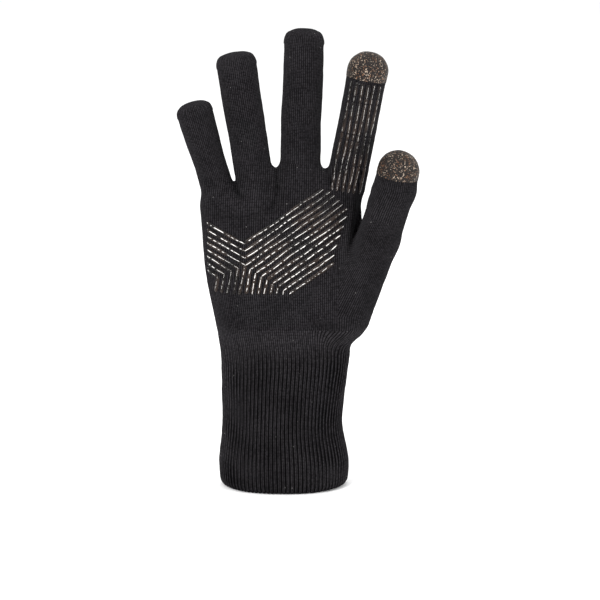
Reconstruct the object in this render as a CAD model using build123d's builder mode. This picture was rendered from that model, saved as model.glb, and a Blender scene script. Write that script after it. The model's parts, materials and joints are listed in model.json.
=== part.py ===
"""Knitted touchscreen glove for the right hand.

The glove stands on its cuff with the fingers up. X points to the thumb side, Y to the back of the hand
and Z to the fingertips. The origin is the centre of the cuff's opening, on the hem.

Two layers run through the whole glove: an outer knit, and an inner liner that fits inside it. The knit
bends at the wrist, at three places on each finger and at two on the thumb. Each bend is its own zone of
knit, shaped like a bow tie in side view, so the stiffer zones on both sides of it can turn towards each
other. The liner is cut straight across at each bend. Silicone grip bars lie on the palm and the index
finger. The index and thumb end in caps of conductive yarn, and the other fingers end in a closing seam.
"""
from build123d import *
import math
import os

# ---------------------------------------------------------------- driving dimensions, in mm and degrees
KNIT = 1.3                  # thickness of the outer knit
LINER_OUT = 1.4             # depth of the liner's outer face under the glove's surface
LINER_IN = 2.4              # depth of the liner's inner face
HEM_HEIGHT = 5.0            # welt that joins knit and liner at the cuff's edge
HEM_ROUND = 0.9
BEND_WAIST = 0.4            # half the height of a bend zone at its hinge line
BEND_SPARE = 1.0            # angle kept free on each side when a bend closes
REACH = 160.0               # longer than any piece of the glove, for cutting tools

# Cross-sections of the cuff and palm: height, centre in X, half width, half depth.
BODY_SECTIONS = [
    (0, 0.5, 38.0, 29.0),
    (14, 0.3, 39.2, 29.5),
    (40, -0.3, 36.1, 27.5),
    (62, 0.5, 37.4, 27.0),
    (82, 1.5, 39.2, 26.0),
    (104, -0.5, 41.0, 24.0),
    (130, -2.0, 44.5, 21.0),
    (155, -1.9, 47.0, 18.0),
    (180, -0.9, 49.5, 15.0),
]
ROUND_SHARE = 0.88          # corner radius of a section, as a share of its half depth
# The webs between the fingers close the top of the palm. The hand's cavity ends a little lower.
WEB_SECTIONS = [(188, 5.0, 40.0, 12.5), (197, 11.0, 28.0, 7.0)]
CAVITY_TOP, CAVITY_TOP_CENTRE, CAVITY_TOP_HALF_WIDTH, CAVITY_TOP_HALF_DEPTH = 186.0, 2.5, 40.0, 12.5

WRIST_HEIGHT = 88.0
WRIST_DEPTH = 26.0
WRIST_FLEX = 50.0
WRIST_EXTEND = 40.0

# Each finger stall reaches into the palm, and changes from root radius to tip radius near its end.
ROOT_DEPTH = 26.0
PROFILE_TURN = 55.0         # a stall's profile stands this far round from the side, clear of the hinge lines
ROOT_FLARE = 0.4
TIP_FLARE = 20.0
ROOT_EXTEND = 10.0
FULL_BEND = (60, 75, 37.5)  # root, knuckle and end joint
SHORT_BEND = (50, 60, 30)   # the little finger's knit is too short to bend further

# The thumb runs from its ball in the palm, past its knuckle and end joint, to its tip.
THUMB_BALL = Vector(34, -8, 110)
THUMB_KNUCKLE = Vector(56, -14, 156)
THUMB_END_JOINT = Vector(67, -17, 186)
THUMB_TIP = Vector(71, -19, 210)
THUMB_BALL_R = 20.0
THUMB_KNUCKLE_R = 14.0
THUMB_R = 12.6
THUMB_FLEX = 55.0
THUMB_EXTEND = 10.0
THUMB_BENDS_TO = (-0.75, -0.66, 0)
THUMB_BASE_FROM = 10.5      # the thumb's stiff zone starts this far past its knuckle
# The seam line of the thumb gusset in X and Z: up the ball of the thumb, then to the thumb's crotch.
GUSSET_SEAM = [(33, 0), (33, 126), (48, 177), (REACH, 178)]

INDEX_CAP = 16.0            # conductive caps, measured back from the fingertip
THUMB_CAP = 15.5
SEAM_WIDTH = 1.6
SEAM_HEIGHT = 0.6
SEAM_REACH = 9.0            # the closing seam runs this far down both sides of a fingertip

# Grip bars are raised silicone strips. On the palm they follow three directions that meet at a point.
BAR_HEIGHT = 0.6
BAR_LIFT = 0.1              # air under the bars, so that they don't cut into the knit
BAR_PITCH = 3.65            # from bar to bar, square to their length
BAR_WIDTH = 2.3
STAR_CENTRE = (-22.7, 140.4)
THUMBWARD, OUTWARD, WRISTWARD = 34.5, 152.5, 259.0
BARS_ABOVE, BARS_OUTSIDE, BARS_THUMBSIDE = 3, 4, 8
GRIP_OUTLINE = [(-46, 118), (-46, 172), (-6, 173), (27, 187), (36, 177), (40, 173), (31, 145), (31, 122.4)]
GRIP_BOTTOM = 122.4
INDEX_BARS = 6
INDEX_BAR_PITCH = 3.4
INDEX_BAR_WIDTH = 2.0
INDEX_BARS_START = -24.0    # from the root hinge, on the palm
INDEX_BARS_GAP = 1.5        # plain knit between the bars and the cap


class Hinge:
    """A line that the knit bends about. `along` points to the moving side, `towards` is where it bends."""

    def __init__(self, point, along, towards, flex, extend, radius):
        self.point = Vector(*point)
        self.along = Vector(*along).normalized()
        towards = Vector(*towards)
        self.towards = (towards - self.along * towards.dot(self.along)).normalized()
        self.slope_front = math.tan(math.radians(flex / 2 + BEND_SPARE))
        self.slope_back = math.tan(math.radians(extend / 2 + BEND_SPARE))
        self.radius = radius

    def side(self, sign):
        """Everything past the bend zone: sign 1 is the moving side, -1 the fixed side."""
        face = Plane(origin=self.point, x_dir=self.towards, z_dir=self.towards.cross(self.along))
        front = BEND_WAIST + self.slope_front * REACH / 2
        back = BEND_WAIST + self.slope_back * REACH / 2
        with BuildPart() as tool:
            with BuildSketch(face):
                with BuildLine():
                    Polyline(
                        (0, sign * BEND_WAIST),
                        (REACH / 2, sign * front),
                        (REACH / 2, sign * REACH),
                        (-REACH / 2, sign * REACH),
                        (-REACH / 2, sign * back),
                        close=True,
                    )
                make_face()
            extrude(amount=REACH / 2, both=True)
        return tool.part

    def past(self):
        return self.side(1)

    def before(self):
        return self.side(-1)

    def straight_past(self):
        """Everything past a straight cut along the hinge line."""
        return half_space(self.point, self.along)


class Finger:
    """A straight finger stall, measured from its root hinge along its own axis."""

    def __init__(self, name, x, height, lean, radius, length, knuckle, end_joint, bend, tip_radius, corner):
        self.name = name
        self.radius, self.tip_radius, self.corner = radius, tip_radius, corner
        self.length = length
        self.root_point = Vector(x, 0, height)
        self.along = Vector(math.sin(math.radians(lean)), 0, math.cos(math.radians(lean)))
        across = Vector(0, 1, 0).cross(self.along)
        self.plane = Plane(origin=self.root_point, x_dir=across, z_dir=across.cross(self.along))
        turn = math.radians(PROFILE_TURN)
        turned = across * math.cos(turn) + Vector(0, 1, 0) * math.sin(turn)
        self.profile_plane = Plane(origin=self.root_point, x_dir=turned, z_dir=turned.cross(self.along))
        to_palm = (0, -1, 0)
        self.root = Hinge(self.root_point, (0, 0, 1), to_palm, bend[0], ROOT_EXTEND, radius)
        self.knuckle = Hinge(self.at(knuckle), self.along, to_palm, bend[1], 0, radius)
        self.end_joint = Hinge(self.at(end_joint), self.along, to_palm, bend[2], 0, radius)

    def at(self, distance):
        return self.root_point + self.along * distance

    def filled(self, inset):
        """The stall as a solid of revolution, with its surface moved in by inset."""
        tip = self.length - inset
        side, top = self.tip_radius - inset, self.tip_radius - self.corner
        with BuildPart() as stall:
            with BuildSketch(self.profile_plane):
                with BuildLine():
                    Polyline(
                        (0, tip),
                        (0, -ROOT_DEPTH),
                        (self.radius + ROOT_FLARE - inset, -ROOT_DEPTH),
                        (self.radius - inset, 0),
                        (self.radius - inset, self.length - TIP_FLARE),
                        (side, self.length - self.corner),
                    )
                    RadiusArc((side, self.length - self.corner), (top, tip), inset - self.corner)
                    Line((top, tip), (0, tip))
                make_face()
            revolve(axis=Axis(self.root_point, self.along))
        return stall.part


#   name, root hinge in X and Z, lean, radius, length, knuckle, end joint, bend, tip radius and corner
FINGERS = [
    Finger("index", 42.0, 207.2, 10.5, 11.8, 60.4, 21.0, 39.0, FULL_BEND, 12.5, 12.0),
    Finger("middle", 10.6, 208.4, 1.9, 12.1, 72.6, 24.5, 48.0, FULL_BEND, 11.9, 9.0),
    Finger("ring", -20.0, 208.4, -8.8, 12.0, 59.3, 21.5, 39.0, FULL_BEND, 11.7, 9.0),
    Finger("little", -43.2, 196.5, -16.3, 10.9, 42.0, 16.0, 29.0, SHORT_BEND, 10.9, 8.0),
]
INDEX = FINGERS[0]

wrist = Hinge((0.5, 0, WRIST_HEIGHT), (0, 0, 1), (0, -1, 0), WRIST_FLEX, WRIST_EXTEND, WRIST_DEPTH)
thumb_end = Hinge(
    THUMB_END_JOINT, THUMB_TIP - THUMB_END_JOINT, THUMB_BENDS_TO, THUMB_FLEX, THUMB_EXTEND, THUMB_R
)


# ---------------------------------------------------------------- cutting
def half_space(point, direction):
    """Everything past a plane through point."""
    with BuildPart() as half:
        with BuildSketch(Plane(origin=point, z_dir=direction)):
            Rectangle(4 * REACH, 4 * REACH)
        extrude(amount=4 * REACH)
    return half.part


def keep(piece, *regions):
    """The part of piece that lies in every region."""
    with BuildPart() as kept:
        add(piece)
        for region in regions:
            add(region, mode=Mode.INTERSECT)
    return kept.part


def remove(piece, *regions):
    """The part of piece that lies in none of the regions."""
    with BuildPart() as left:
        add(piece)
        for region in regions:
            add(region, mode=Mode.SUBTRACT)
    return left.part


def layer(filled, outside, inside):
    """The wall between two depths under a filled shape's surface."""
    with BuildPart() as wall:
        add(filled(outside))
        add(filled(inside), mode=Mode.SUBTRACT)
    return wall.part


def save(piece, name):
    piece.label = name
    export_step(piece, f"parts/{name}.step")


# ---------------------------------------------------------------- filled shapes that the layers are cut from
def filled_body(inset, webs=False):
    """Cuff and palm as one loft with its surface moved in by inset, closed by the webs or flat."""
    flat_top = CAVITY_TOP - (inset - KNIT)
    flat = (flat_top, CAVITY_TOP_CENTRE, CAVITY_TOP_HALF_WIDTH, CAVITY_TOP_HALF_DEPTH)
    with BuildPart() as body:
        for height, centre, half_width, half_depth in BODY_SECTIONS + (WEB_SECTIONS if webs else [flat]):
            with BuildSketch(Plane.XY.offset(height)):
                with Locations((centre, 0)):
                    corner = ROUND_SHARE * half_depth - inset
                    RectangleRounded(2 * (half_width - inset), 2 * (half_depth - inset), corner)
        loft()
    return body.part


def filled_thumb(inset):
    """The thumb stall from its ball to its tip: cones and cylinders joined by balls."""
    dome_centre = THUMB_TIP - thumb_end.along * THUMB_R
    joints = [
        (THUMB_BALL, THUMB_BALL_R),
        (THUMB_KNUCKLE, THUMB_KNUCKLE_R),
        (THUMB_END_JOINT, THUMB_R),
        (dome_centre, THUMB_R),
    ]
    with BuildPart() as thumb:
        for (start, r_start), (end, r_end) in zip(joints, joints[1:]):
            with Locations(Plane(origin=start, z_dir=end - start)):
                lowest = (Align.CENTER, Align.CENTER, Align.MIN)
                if r_start == r_end:
                    Cylinder(r_start - inset, (end - start).length, align=lowest)
                else:
                    Cone(r_start - inset, r_end - inset, (end - start).length, align=lowest)
        for centre, radius in joints:
            with Locations(centre):
                Sphere(radius - inset)
    return thumb.part


thumb_shaft = (THUMB_END_JOINT - THUMB_KNUCKLE).normalized()
thumb_past_gusset = half_space(THUMB_KNUCKLE + thumb_shaft * THUMB_BASE_FROM, thumb_shaft)
above_hem = half_space(Vector(0, 0, HEM_HEIGHT), Vector(0, 0, 1))


def filled_hand(inset, webs=False, stall_end=None):
    """Cuff, palm and thumb ball as one solid. Finger stalls are whole, or end where stall_end cuts them."""
    with BuildPart() as hand:
        add(filled_body(inset, webs))
        thumb = filled_thumb(inset)
        add(remove(thumb, thumb_past_gusset) if stall_end else thumb)
        for finger in FINGERS:
            stall = finger.filled(inset)
            add(stall_end(stall, finger) if stall_end else stall)
    return hand.part


def below_bend(stall, finger):
    return keep(stall, finger.root.before())


def below_hinge(stall, finger):
    return remove(stall, finger.root.straight_past())


# ---------------------------------------------------------------- pieces
def gusset_region():
    """The side of the hand whose knit the thumb pulls along when it swings."""
    with BuildPart() as region:
        with BuildSketch(Plane.XZ):
            with BuildLine():
                Polyline(*GUSSET_SEAM, (REACH, 0), close=True)
            make_face()
        extrude(amount=REACH / 2, both=True)
    return region.part


def make_hand_and_cuff():
    outer = keep(remove(filled_hand(0, webs=True, stall_end=below_bend), filled_hand(KNIT)), above_hem)
    gusset = gusset_region()
    above_wrist = keep(outer, wrist.past())
    save(keep(outer, wrist.before()), "ribbed_cuff")
    save(remove(outer, wrist.before(), wrist.past()), "wrist_knit")
    save(remove(above_wrist, gusset), "palm_knit")
    save(keep(above_wrist, gusset), "thumb_gusset_knit")

    lining = remove(filled_hand(LINER_OUT, stall_end=below_hinge), filled_hand(LINER_IN))
    lining = keep(lining, above_hem)
    save(remove(lining, wrist.straight_past()), "cuff_liner")
    save(keep(lining, wrist.straight_past()), "palm_liner")


def make_hem():
    hem = remove(layer(filled_body, 0, LINER_IN), above_hem)
    with BuildPart() as welt:
        add(hem)
        fillet(welt.edges().group_by(Axis.Z)[0], HEM_ROUND)
    save(welt.part, "hem_welt")


def make_finger(finger):
    name = finger.name
    wall = layer(finger.filled, 0, KNIT)
    past_root = keep(wall, finger.root.past())
    past_knuckle = keep(past_root, finger.knuckle.past())
    tip = keep(past_knuckle, finger.end_joint.past())
    save(remove(wall, finger.root.before(), finger.root.past()), f"{name}_root_knit")
    save(keep(past_root, finger.knuckle.before()), f"{name}_base_knit")
    save(remove(past_root, finger.knuckle.before(), finger.knuckle.past()), f"{name}_knuckle_knit")
    save(keep(past_knuckle, finger.end_joint.before()), f"{name}_middle_knit")
    save(
        remove(past_knuckle, finger.end_joint.before(), finger.end_joint.past()),
        f"{name}_end_joint_knit",
    )
    if finger is INDEX:
        cap = half_space(finger.at(finger.length - INDEX_CAP), finger.along)
        save(remove(tip, cap), "index_tip_knit")
        save(keep(tip, cap), "index_touch_tip")
    else:
        save(tip, f"{name}_tip_knit")
        save(closing_seam(finger), f"{name}_closing_seam")
    save_by_bend(finger, layer(finger.filled, LINER_OUT, LINER_IN), "liner")


def save_by_bend(finger, piece, kind):
    """Cuts a layer of a finger straight across at each hinge, and saves its three lengths."""
    past_root = keep(piece, finger.root.straight_past())
    past_knuckle = keep(piece, finger.knuckle.straight_past())
    save(remove(past_root, finger.knuckle.straight_past()), f"{finger.name}_base_{kind}")
    save(remove(past_knuckle, finger.end_joint.straight_past()), f"{finger.name}_middle_{kind}")
    save(keep(piece, finger.end_joint.straight_past()), f"{finger.name}_tip_{kind}")


def closing_seam(finger):
    """The raised line where the last rows of a fingertip are drawn together, from side to side."""
    with BuildPart() as slab:
        with BuildSketch(finger.plane):
            with Locations((0, finger.length)):
                Rectangle(2 * REACH, 2 * SEAM_REACH)
        extrude(amount=SEAM_WIDTH / 2, both=True)
    return keep(layer(finger.filled, -SEAM_HEIGHT, -BAR_LIFT), slab.part)


def make_thumb():
    wall = keep(layer(filled_thumb, 0, KNIT), thumb_past_gusset)
    cap = half_space(THUMB_TIP - thumb_end.along * THUMB_CAP, thumb_end.along)
    tip = keep(wall, thumb_end.past())
    save(keep(wall, thumb_end.before()), "thumb_base_knit")
    save(remove(wall, thumb_end.before(), thumb_end.past()), "thumb_end_joint_knit")
    save(remove(tip, cap), "thumb_tip_knit")
    save(keep(tip, cap), "thumb_touch_tip")
    lining = keep(layer(filled_thumb, LINER_OUT, LINER_IN), thumb_past_gusset)
    save(remove(lining, thumb_end.straight_past()), "thumb_base_liner")
    save(keep(lining, thumb_end.straight_past()), "thumb_tip_liner")


def stroke(start, direction, length, width):
    """A straight grip bar with round ends, added to the sketch that is open."""
    angle = math.radians(direction)
    middle = (start[0] + math.cos(angle) * length / 2, start[1] + math.sin(angle) * length / 2)
    with Locations(middle):
        SlotCenterToCenter(length, width, rotation=direction)


def grip_corners(first, second, count):
    """Where the bars that run in two directions meet, one point per bar, going out from the star."""
    half_gap = (second - first) / 2
    step = BAR_PITCH / math.sin(math.radians(half_gap))
    middle = math.radians(first + half_gap)
    for i in range(1, count + 1):
        yield (
            STAR_CENTRE[0] + i * step * math.cos(middle),
            STAR_CENTRE[1] + i * step * math.sin(middle),
        )


def palm_bars():
    """The palm's bars, cut through the whole palm side."""
    sectors = [
        (THUMBWARD, OUTWARD, BARS_ABOVE),
        (OUTWARD, WRISTWARD, BARS_OUTSIDE),
        (WRISTWARD, THUMBWARD + 360, BARS_THUMBSIDE),
    ]
    with BuildPart() as bars:
        with BuildSketch(Plane.XZ):
            for direction in (THUMBWARD, OUTWARD, WRISTWARD):
                stroke(STAR_CENTRE, direction, REACH, BAR_WIDTH)
            for first, second, count in sectors:
                for corner in grip_corners(first, second, count):
                    stroke(corner, first, REACH, BAR_WIDTH)
                    stroke(corner, second, REACH, BAR_WIDTH)
            with BuildSketch(Plane.XZ, mode=Mode.INTERSECT):
                with BuildLine():
                    Polyline(*GRIP_OUTLINE, close=True)
                make_face()
            with Locations((0, GRIP_BOTTOM - REACH / 2)):
                Rectangle(2 * REACH, REACH, mode=Mode.SUBTRACT)
        extrude(amount=REACH / 2)
    return bars.part


def index_bars():
    """The index finger's bars, cut through its whole palm side."""
    end = INDEX.length - INDEX_CAP - INDEX_BARS_GAP
    with BuildPart() as bars:
        with BuildSketch(INDEX.plane):
            with Locations((0, (INDEX_BARS_START + end) / 2)):
                with GridLocations(INDEX_BAR_PITCH, 0, INDEX_BARS, 1):
                    SlotOverall(end - INDEX_BARS_START, INDEX_BAR_WIDTH, rotation=90)
        extrude(amount=REACH / 4)
    return bars.part


def make_grip():
    hand_surface = filled_hand(-BAR_HEIGHT, webs=True, stall_end=below_hinge)
    hand_skin = remove(hand_surface, filled_hand(-BAR_LIFT, webs=True))
    on_finger = index_bars()
    on_hand = keep(hand_skin, palm_bars())
    below_finger = remove(keep(hand_skin, on_finger), INDEX.root.straight_past())
    with BuildPart() as palm_grip:
        add(on_hand)
        add(below_finger)
    save(palm_grip.part, "palm_grip_bars")
    save_by_bend(INDEX, keep(layer(INDEX.filled, -BAR_HEIGHT, -BAR_LIFT), on_finger), "grip_bars")


os.makedirs("parts", exist_ok=True)
make_hand_and_cuff()
make_hem()
for each in FINGERS:
    make_finger(each)
make_thumb()
make_grip()
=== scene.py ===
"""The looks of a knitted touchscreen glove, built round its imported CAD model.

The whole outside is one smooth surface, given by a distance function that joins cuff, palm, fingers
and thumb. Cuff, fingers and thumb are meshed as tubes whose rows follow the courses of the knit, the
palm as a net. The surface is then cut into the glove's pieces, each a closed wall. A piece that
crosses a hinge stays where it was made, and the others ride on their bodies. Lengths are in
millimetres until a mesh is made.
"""

import bmesh
import bpy
import json
import math
import numpy as np
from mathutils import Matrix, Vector


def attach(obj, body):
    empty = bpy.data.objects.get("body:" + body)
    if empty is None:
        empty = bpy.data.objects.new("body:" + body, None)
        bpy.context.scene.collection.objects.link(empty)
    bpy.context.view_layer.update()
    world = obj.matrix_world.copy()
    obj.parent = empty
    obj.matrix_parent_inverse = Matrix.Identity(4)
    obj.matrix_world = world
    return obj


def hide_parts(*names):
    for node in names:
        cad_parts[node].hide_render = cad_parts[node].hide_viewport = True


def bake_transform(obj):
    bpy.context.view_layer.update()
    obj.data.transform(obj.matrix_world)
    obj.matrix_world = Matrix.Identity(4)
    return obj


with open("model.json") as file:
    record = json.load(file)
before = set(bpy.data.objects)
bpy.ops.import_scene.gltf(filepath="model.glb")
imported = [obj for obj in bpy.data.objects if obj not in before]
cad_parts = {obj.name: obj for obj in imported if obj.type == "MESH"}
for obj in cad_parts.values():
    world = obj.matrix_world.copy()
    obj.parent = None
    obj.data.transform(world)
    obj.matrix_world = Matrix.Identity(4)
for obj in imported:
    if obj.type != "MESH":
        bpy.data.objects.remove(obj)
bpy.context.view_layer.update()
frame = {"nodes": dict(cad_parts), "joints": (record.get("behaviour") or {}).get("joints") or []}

MM = 0.001
TURN = 2 * math.pi
JOINTS = {joint["name"]: joint for joint in frame["joints"]}
random = np.random.default_rng(7)

# ---------------- the glove's dimensions
# Cross-sections of cuff and palm: height, centre in X, half width, half depth, and the power of the
# superellipse, 2 for an ellipse and more for a squarer outline.
SECTIONS = np.array([
    (-4, 0.5, 37.2, 28.4, 2.1),
    (0, 0.5, 38.0, 29.0, 2.1),
    (14, 0.3, 39.2, 29.3, 2.1),
    (40, -0.3, 36.1, 27.2, 2.1),
    (62, 0.5, 37.4, 26.6, 2.15),
    (82, 1.5, 39.2, 25.6, 2.2),
    (104, -0.5, 41.0, 23.4, 2.3),
    (130, -2.0, 44.5, 20.6, 2.45),
    (155, -1.9, 47.0, 17.8, 2.6),
    (180, -0.9, 49.5, 14.9, 2.8),
    (197, 0.0, 49.5, 11.0, 3.0),
    (210, 0.0, 49.5, 9.0, 3.0),
])
# Where the palm ends between the fingers: X and height.
WEB_LINE = np.array([(-60, 176), (-44, 182), (-28.5, 185), (-16, 193), (-3.6, 195.5), (10, 197),
                     (26, 194.5), (38, 188), (48, 176.5), (60, 172)])
WEB_BLEND, FINGER_BLEND, HAND_BLEND, THUMB_BLEND, CHAIN_BLEND = 9.0, 0.6, 6.0, 8.0, 3.0
# Swellings of the palm: centre, size, how far they raise it.
HEEL_MOUND = ((-27, -14, 124), (16, 14, 24), 1.8)
PALM_HOLLOW = ((2, -18, 146), (17, 12, 20), -1.6)

KNIT = 1.2  # thickness of the outer knit
HEM_WALL = 2.3  # the welt is folded double
LINER_DEPTH, LINER = 1.4, 1.0
HEM_TOP, HEM_FOLD, HEM_ROUNDING = 5.0, 5.5, 3.0
EDGE_ROWS, EDGE_WAVE = (0.25, 0.7), 0.7
RIBS = 84  # round the cuff, each two columns of stitches wide
RIB_DEPTH = 0.85
RIB_END, RIB_FADE, RIB_SHADE_FULL = 97.0, 16.0, 76.0
WALE = 1.25  # width of a column of stitches
COURSE = 0.95  # height of a row of stitches
CAP_RAISE = 0.2  # the caps are thicker yarn
BEND_WAIST = 0.4  # knit left on the inner side of the sharpest bend
BEND_SPARE = 1.0  # degrees
WRIST_RADIUS = 26.0

THUMB = [np.array(p, float) for p in ((34, -8, 110), (56, -14, 156), (67, -17, 186),
                                      (71, -19, 210))]
THUMB_RADII = (20.0, 14.0, 12.6, 12.6)
THUMB_WALES, GUSSET_WALES = 64, 84
THUMB_LOOP = 14.0  # the thumb's own tube starts this far past its knuckle
THUMB_ROOM = 17.0  # whatever is nearer than this to the thumb's axis belongs to it
THUMB_CAP, INDEX_CAP = 15.5, 16.0

# Seam of the thumb gusset: up the palm at GUSSET_X, then along a slanted plane through the crotch.
GUSSET_X = 33.0
CROTCH = np.array((48.0, -4.0, 177.0))
CROTCH_NORMAL = np.array((0.959, 0.0, -0.284))
GUSSET_TURN = (125, 128)  # the two planes of the seam meet between these heights

# Steps of the meshes: net and rows in millimetres, columns of a stall, columns of the cuff.
FULL_MESH = (1.05, 120, RIBS * 8)
LINER_NET, LINER_ROWS, LINER_COLUMNS, CUFF_LINER_ROWS, CUFF_LINER_COLUMNS = 1.8, 2.5, 28, 4.0, 96


def unit(v):
    """A vector, or each one of an array of them, at length 1."""
    return v / np.linalg.norm(v, axis=-1, keepdims=True)


def length_along(line):
    """How far each point of a line is from its first one."""
    return np.concatenate([[0], np.cumsum(np.linalg.norm(np.diff(line, axis=0), axis=1))])


def cad_points(node):
    return np.array([v.co for v in frame["nodes"][node].data.vertices]) / MM


def joint_point(name):
    return np.array(JOINTS[name]["pos_m"]) / MM


def bend_reach(joint, radius):
    """Half the length of knit that takes up a hinge's larger bend."""
    widest = max(abs(limit) for limit in JOINTS[joint]["range_deg"])
    return BEND_WAIST + radius * math.tan(math.radians(widest / 2 + BEND_SPARE))


WRIST = joint_point("wrist")
WRIST_REACH = bend_reach("wrist", WRIST_RADIUS)
WRIST_TOP = WRIST[2] + WRIST_REACH

THUMB_AXIS = unit(THUMB[2] - THUMB[1])
TIP_AXIS = unit(THUMB[3] - THUMB[2])
THUMB_CHAIN = THUMB[:3] + [THUMB[3] - TIP_AXIS * THUMB_RADII[3]]
THUMB_RING = THUMB[1] + THUMB_AXIS * THUMB_LOOP
THUMB_HINGE = float(np.linalg.norm(THUMB[2] - THUMB[1]))
THUMB_LENGTH = THUMB_HINGE + float(np.linalg.norm(THUMB[3] - THUMB[2]))
THUMB_REACH = bend_reach("thumb_end_joint", THUMB_RADII[2] + 1.8)


class Finger:
    """A finger stall: a round tube along a line, swelling or narrowing into its tip."""

    SWELL = 26.0  # length over which the radius goes over into the tip's
    ROOT = 20.0  # length over which a slim root widens
    BURIED = 22.0  # how far the stall reaches down into the palm
    FLATNESS = 0.97

    def __init__(self, name, corner, squareness, slim=0.0):
        self.name, self.slim = name, slim
        self.root = joint_point(f"{name}_root")
        self.axis = unit(joint_point(f"{name}_knuckle") - self.root)
        self.across = unit(np.cross((0, 1, 0), self.axis))
        tip_node = "index_touch_tip" if name == "index" else f"{name}_tip_knit"
        self.length = ((cad_points(tip_node) - self.root) @ self.axis).max()
        self.radius = self.lateral(cad_points(f"{name}_base_knit")).max()
        self.tip_radius = self.lateral(cad_points(tip_node)).max()
        self.corner, self.squareness = corner, squareness
        self.hinges = {"root": 0.0}
        for hinge in ("knuckle", "end_joint"):
            self.hinges[hinge] = float((joint_point(f"{name}_{hinge}") - self.root) @ self.axis)
        self.reach = {h: bend_reach(f"{name}_{h}", self.radius) for h in self.hinges}

    def lateral(self, p):
        q = p - self.root
        return np.linalg.norm(q - np.outer(q @ self.axis, self.axis), axis=1)

    def distance(self, p):
        q = p - self.root
        s = q @ self.axis
        side = np.sqrt((q @ self.across) ** 2 + (q[..., 1] / self.FLATNESS) ** 2)
        swell = np.clip((s - self.length + self.SWELL) / self.SWELL, 0, 1)
        r = self.radius + (self.tip_radius - self.radius) * swell * swell * (3 - 2 * swell)
        r = r - self.slim * np.exp(-(np.clip(s, -8, None) / self.ROOT) ** 2)
        t = np.clip((s - self.length + self.corner) / self.corner, 0, None)
        m = self.squareness
        tip = ((np.clip(side, 1e-6, None) / r) ** m + t ** m) ** (1 / m)
        below = np.clip(-self.BURIED - s, 0, None)
        return np.where(t > 0, (tip - 1) * np.minimum(r, self.corner), np.hypot(side, below) - r)

    def at(self, s):
        return self.root + self.axis * s

    def cross_section(self, s):
        """Centre at a distance from the root, and two directions across."""
        return self.at(s), self.across, np.cross(self.axis, self.across)

    def band(self, hinge):
        """Where the knit that bends at a hinge starts and ends."""
        return self.hinges[hinge] - self.reach[hinge], self.hinges[hinge] + self.reach[hinge]

    def bend_ends(self, hinge):
        return [self.at(s) for s in self.band(hinge)]


FINGERS = [Finger("index", 12.0, 2.1), Finger("middle", 9.5, 2.6), Finger("ring", 9.0, 2.7, 0.6),
           Finger("little", 8.5, 2.5, 1.3)]
INDEX = FINGERS[0]


def smooth_table(table, steps=400):
    """A table of sections, filled in with smooth curves through its rows."""
    x, y = table[:, 0], table[:, 1:]
    slope = np.gradient(y, x, axis=0)
    fine = np.linspace(x[0], x[-1], steps)
    i = np.clip(np.searchsorted(x, fine, side="right") - 1, 0, len(x) - 2)
    h = (x[i + 1] - x[i])[:, None]
    t = ((fine - x[i])[:, None]) / h
    a = (1 + 2 * t) * (1 - t) ** 2 * y[i] + t * (1 - t) ** 2 * h * slope[i]
    b = t * t * (3 - 2 * t) * y[i + 1] + t * t * (t - 1) * h * slope[i + 1]
    return fine, a + b


HEIGHTS, PROFILE = smooth_table(SECTIONS)


def section(z):
    """Centre in X, half width, half depth and power of the cross-section at a height."""
    return [np.interp(z, HEIGHTS, PROFILE[:, i]) for i in range(4)]


def smooth_min(a, b, k):
    """The smaller of two distances, rounded where they are closer than k to each other."""
    h = np.clip(k - np.abs(a - b), 0, None) / k
    return np.minimum(a, b) - h * h * k / 4


def body_distance(p):
    """Distance to the cuff and palm, by their cross-section at each height."""
    centre, a, b, n = section(p[..., 2])
    x, y = np.abs(p[..., 0] - centre) + 1e-6, np.abs(p[..., 1]) + 1e-6
    rho = ((x / a) ** n + (y / b) ** n) ** (1 / n)
    slope_x = rho ** (1 - n) * (x / a) ** (n - 1) / a
    slope_y = rho ** (1 - n) * (y / b) ** (n - 1) / b
    return (rho - 1) / np.hypot(slope_x, slope_y)


def ball_chain(p, points, radii, k):
    """Distance to round stretches between balls."""
    total = None
    for start, end, r0, r1 in zip(points, points[1:], radii, radii[1:]):
        d = end - start
        t = np.clip(((p - start) @ d) / (d @ d), 0, 1)
        near = np.linalg.norm(p - start - t[..., None] * d, axis=-1) - (r0 + (r1 - r0) * t)
        total = near if total is None else smooth_min(total, near, k)
    return total


def thumb_distance(p):
    return ball_chain(p, THUMB_CHAIN, THUMB_RADII, CHAIN_BLEND)


def mound(p, centre, size, lift):
    """How much a soft swelling raises the surface."""
    q = (p - np.array(centre)) / np.array(size)
    return lift * np.exp(-(q ** 2).sum(-1))


def distance(p):
    """Signed distance to the glove's outside, before folds and ribs."""
    body = body_distance(p)
    top = (p[..., 2] - np.interp(p[..., 0], WEB_LINE[:, 0], WEB_LINE[:, 1])) * 0.9
    body = -smooth_min(-body, -top, WEB_BLEND)
    body = body - mound(p, *HEEL_MOUND) - mound(p, *PALM_HOLLOW)
    fingers = FINGERS[0].distance(p)
    for finger in FINGERS[1:]:
        fingers = smooth_min(fingers, finger.distance(p), FINGER_BLEND)
    hand = smooth_min(body, fingers, HAND_BLEND)
    return smooth_min(hand, thumb_distance(p), THUMB_BLEND)


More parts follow.
